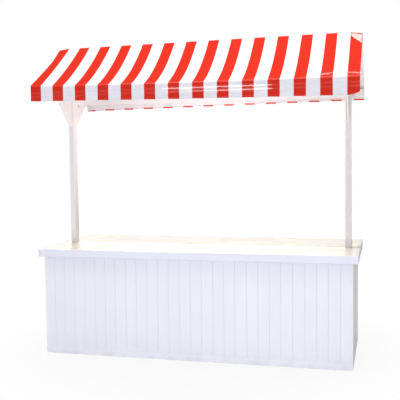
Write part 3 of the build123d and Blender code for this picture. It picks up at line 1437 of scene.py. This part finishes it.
    def cloth(self) -> Piece:
        """Build the cloth as one thin closed sheet.

        Returns:
            The piece.
        """
        welds = tuple(self.eave - drop for drop in self.weld_drops)
        outer = StripedCloth("canopy_stripes", -self.half, self.pitch, self.band_share, welds).material()
        lining = ClothLining("canopy_lining", -self.half, self.pitch, self.band_share).material()
        columns = self.stations()
        shell, drops, shines, sides = Shell(), [], [], []
        for x in columns:
            section = self.section(x)
            run = [0.0]
            for a, b in zip(section, section[1:]):
                run.append(run[-1] + math.dist(a, b))
            for face in (section, self.inner(section)):
                shell.points += [(x, y, z) for y, z in face]
            drops += run * 2
            shines += [self.sheen(x, y, z) for y, z in section] * 2
        shell.layers = {"drop": drops, "sheen": shines}
        count, last = len(run), len(columns) - 1
        for a in range(0, last * 2 * count, 2 * count):
            b = a + 2 * count
            for i in range(count - 1):
                shell.faces.append((a + i, a + i + 1, b + i + 1, b + i))
                shell.faces.append((a + count + i, b + count + i, b + count + i + 1, a + count + i + 1))
                sides += [0, 1]
            shell.faces += [(a + i, a + count + i, b + count + i, b + i) for i in (0, count - 1)]
            sides += [0, 0]
        for start in (0, last * 2 * count):
            for i in range(start, start + count - 1):
                shell.faces.append((i, i + 1, i + count + 1, i + count))
                sides.append(0)
        piece = shell.piece("canopy_cloth", outer, lining)
        piece.data.polygons.foreach_set("material_index", sides)
        piece.data.polygons.foreach_set("use_smooth", [True] * len(sides))
        self.flat = (2 * self.half, max(drops))
        nodes = [f"canopy_{side}_{part}" for side in ("front", "rear") for part in ("slope", "valance")]
        return settle(piece, "canopy_cloth", *nodes)

    def stitching(self, finish: Material) -> Piece:
        """Rows of stitches that hold the turned-up hems.

        Args:
            finish: Their finish.

        Returns:
            The piece.
        """
        shell = Shell()
        thick = self.stitch_half
        for side in (-1, 1):
            x = -self.half + self.stitch_pitch
            while x < self.half - self.stitch_pitch:
                hem, fold = self.hem_height(x, side), self.eave_height(x, side) - self.fold_set
                height = hem + self.hem_turn - self.stitch_inset
                out = self.depth + self.lean_out(x, (fold - height) / (fold - hem), side)
                base, middle = len(shell.points), x + self.stitch / 2
                shell.points += [
                    (x, side * out, height),
                    (middle, side * out, height + thick),
                    (x + self.stitch, side * out, height),
                    (middle, side * out, height - thick),
                    (middle, side * (out + thick), height),
                    (middle, side * (out - thick), height),
                ]
                for i in range(4):
                    j = (i + 1) % 4
                    shell.faces += [(base + i, base + j, base + 4), (base + j, base + i, base + 5)]
                x += self.stitch_pitch
        return settle(shell.piece("canopy_stitching", finish), "canopy_cloth")

    def build(self) -> None:
        cloth = self.cloth()
        thread = ClothLining("hem_thread", -self.half, self.pitch, 0.0).material()
        stitching = self.stitching(thread)
        LOG.info("canopy cut flat: %.3f by %.3f m", *self.flat)


# ---- studio


@dataclass(frozen=True)
class Softbox:
    """A rectangular lamp that faces a point. Half a beam is in degrees, and 90 is the whole side."""

    name: str
    place: Point
    target: Point
    size: Pair
    radiance: float
    colour: Colour
    half_beam: float = 90.0

    def build(self) -> None:
        """Make the lamp. A narrowed beam keeps its radiance straight ahead."""
        lamp = bpy.data.lights.new(self.name, "AREA")
        lamp.shape = "RECTANGLE"
        lamp.size, lamp.size_y = self.size
        lamp.color = self.colour
        lamp.energy = self.radiance * math.pi * self.size[0] * self.size[1]
        if self.half_beam < 90.0:
            beam = math.radians(self.half_beam)
            lamp.spread = 2 * beam
            lamp.energy *= 1 - beam / math.tan(beam)
        holder = linked(self.name, lamp)
        holder.location = self.place
        aim = Vector(self.target) - Vector(self.place)
        holder.rotation_euler = aim.to_track_quat("-Z", "Y").to_euler()
        holder.visible_camera = False


@dataclass
class Studio:
    """Pale floor, soft lamps, white surroundings and the camera."""

    # Each lamp's name, place, target, size, radiance, colour, and half beam in degrees
    lamps: tuple[tuple, ...] = (
        ("overhead_softbox", (0.0, -1.6, 8.0), (0.0, -0.2, 1.6), (6.0, 4.0), 4.7, (1.0, 0.97, 0.93)),
        ("high_front_softbox", (0.4, -8.5, 5.6), (0.0, 0.0, 1.2), (5.0, 3.5), 0.4, (0.82, 0.86, 1.0)),
        ("low_front_softbox", (0.3, -4.0, 0.5), (0.2, 0.0, 0.5), (7.0, 0.9), 4.15, (0.77, 0.8, 1.0)),
        ("rear_softbox", (-1.4, 4.5, 3.2), (-0.5, 0.0, 0.9), (4.5, 1.5), 5.0, (1.0, 0.93, 0.8)),
        ("counter_bounce", (0.0, 0.0, 0.915), (0.0, 0.01, 3.0), (1.6, 0.8), 6.0, (1.0, 0.96, 0.96), 60.0),
        ("gable_bounce", (1.9, -0.9, 1.2), (1.31, 0.3, 2.4), (0.5, 0.5), 7.5, (1.0, 0.88, 0.8), 24.0),
        ("ridge_lamp", (1.454, -0.015, 4.85), (1.31, -0.04, 2.64), (0.5, 0.45), 9.0, (1.0, 0.94, 0.86)),
        ("crease_lamp", (0.965, -0.21, 4.85), (1.23, -0.53, 2.29), (0.2, 0.66), 24.0, (1.0, 0.97, 0.92)),
        ("valance_tube", (-1.6, -8.58, 2.987), (0.2, -0.58, 2.2025), (2.1, 0.16), 10.0, (0.92, 0.93, 1.0)),
        ("right_softbox", (4.2, -1.0, 1.9), (1.3, 0.1, 1.9), (1.5, 1.8), 1.9, (1.0, 0.96, 0.93)),
    )
    floor_half: float = 30.0
    floor_grey: float = 0.6
    floor_roughness: float = 0.9
    shadow_reach: Pair = (0.9, 2.1)
    shadow_white: float = 0.86
    fill: Colour = (1.0, 0.98, 0.95)
    fill_strength: float = 0.38
    camera_place: Point = (1.524, -6.055, 1.666)
    camera_turn: float = -14.51
    camera_tilt: float = -3.41
    camera_roll: float = -0.67
    lens: float = 64.2

    def build(self) -> None:
        """Set up the room."""
        self.floor()
        self.world()
        self.camera()
        for lamp in self.lamps:
            Softbox(*lamp).build()
        bpy.context.scene.view_settings.view_transform = "Standard"
        LOG.info("studio ready")

    def floor(self) -> None:
        """Make the floor: it keeps the stall's shadow and fades to white away from it."""
        surface = Surface("studio_floor")
        grey = (self.floor_grey, self.floor_grey, self.floor_grey, 1.0)
        surface.paint({"Base Color": grey, "Roughness": self.floor_roughness, "Specular IOR Level": 0.0})
        white = surface.add("Emission", {"Color": WHITE, "Strength": 1.0}).outputs[0]
        far = surface.vector("LENGTH", surface.where()).outputs["Value"]
        fade = surface.ease(far, *self.shadow_reach, self.shadow_white, 1.0)
        seen = surface.times(fade, surface.add("LightPath").outputs["Is Camera Ray"])
        mix = surface.add("MixShader", {0: seen, 1: surface.shader.outputs[0], 2: white})
        output = next(n for n in surface.tree.nodes if n.type == "OUTPUT_MATERIAL")
        surface.feed(output.inputs["Surface"], mix.outputs[0])
        reach = self.floor_half
        corners = [(-reach, -reach, 0.0), (reach, -reach, 0.0), (reach, reach, 0.0), (-reach, reach, 0.0)]
        Shell(corners, [(0, 1, 2, 3)]).piece("studio_floor", surface.material)

    def world(self) -> None:
        """Light the room softly, and show white to the camera and in reflections."""
        world = bpy.context.scene.world or bpy.data.worlds.new("studio")
        bpy.context.scene.world = world
        world.use_nodes = True
        world.node_tree.nodes.clear()
        graph = Graph(world.node_tree)
        inputs = {"Color": (*self.fill, 1.0), "Strength": self.fill_strength}
        fill = graph.add("Background", inputs).outputs[0]
        white = graph.add("Background", {"Color": WHITE, "Strength": 1.0}).outputs[0]
        path = graph.add("LightPath").outputs
        shiny = graph.math("MAXIMUM", path["Is Glossy Ray"], path["Is Transmission Ray"])
        seen = graph.math("MAXIMUM", path["Is Camera Ray"], shiny)
        mix = graph.add("MixShader", {0: seen, 1: fill, 2: white})
        graph.feed(graph.add("OutputWorld").inputs["Surface"], mix.outputs[0])

    def camera(self) -> None:
        """Place the camera."""
        camera = bpy.data.cameras.new("camera")
        camera.lens = self.lens
        holder = linked("camera", camera)
        turn, tilt, roll = (math.radians(a) for a in (self.camera_turn, self.camera_tilt, self.camera_roll))
        level = Matrix.Rotation(-turn, 4, "Z") @ Matrix.Rotation(math.pi / 2 + tilt, 4, "X")
        holder.matrix_world = Matrix.Translation(self.camera_place) @ level @ Matrix.Rotation(roll, 4, "Z")
        bpy.context.scene.camera = holder


def main() -> None:
    """Build the stall and the room, in order."""
    logging.basicConfig(level=logging.INFO, format="%(name)s %(message)s")
    Counter().build()
    Heads().build()
    Canopy().build()
    Studio().build()


if __name__ == "__main__":
    main()
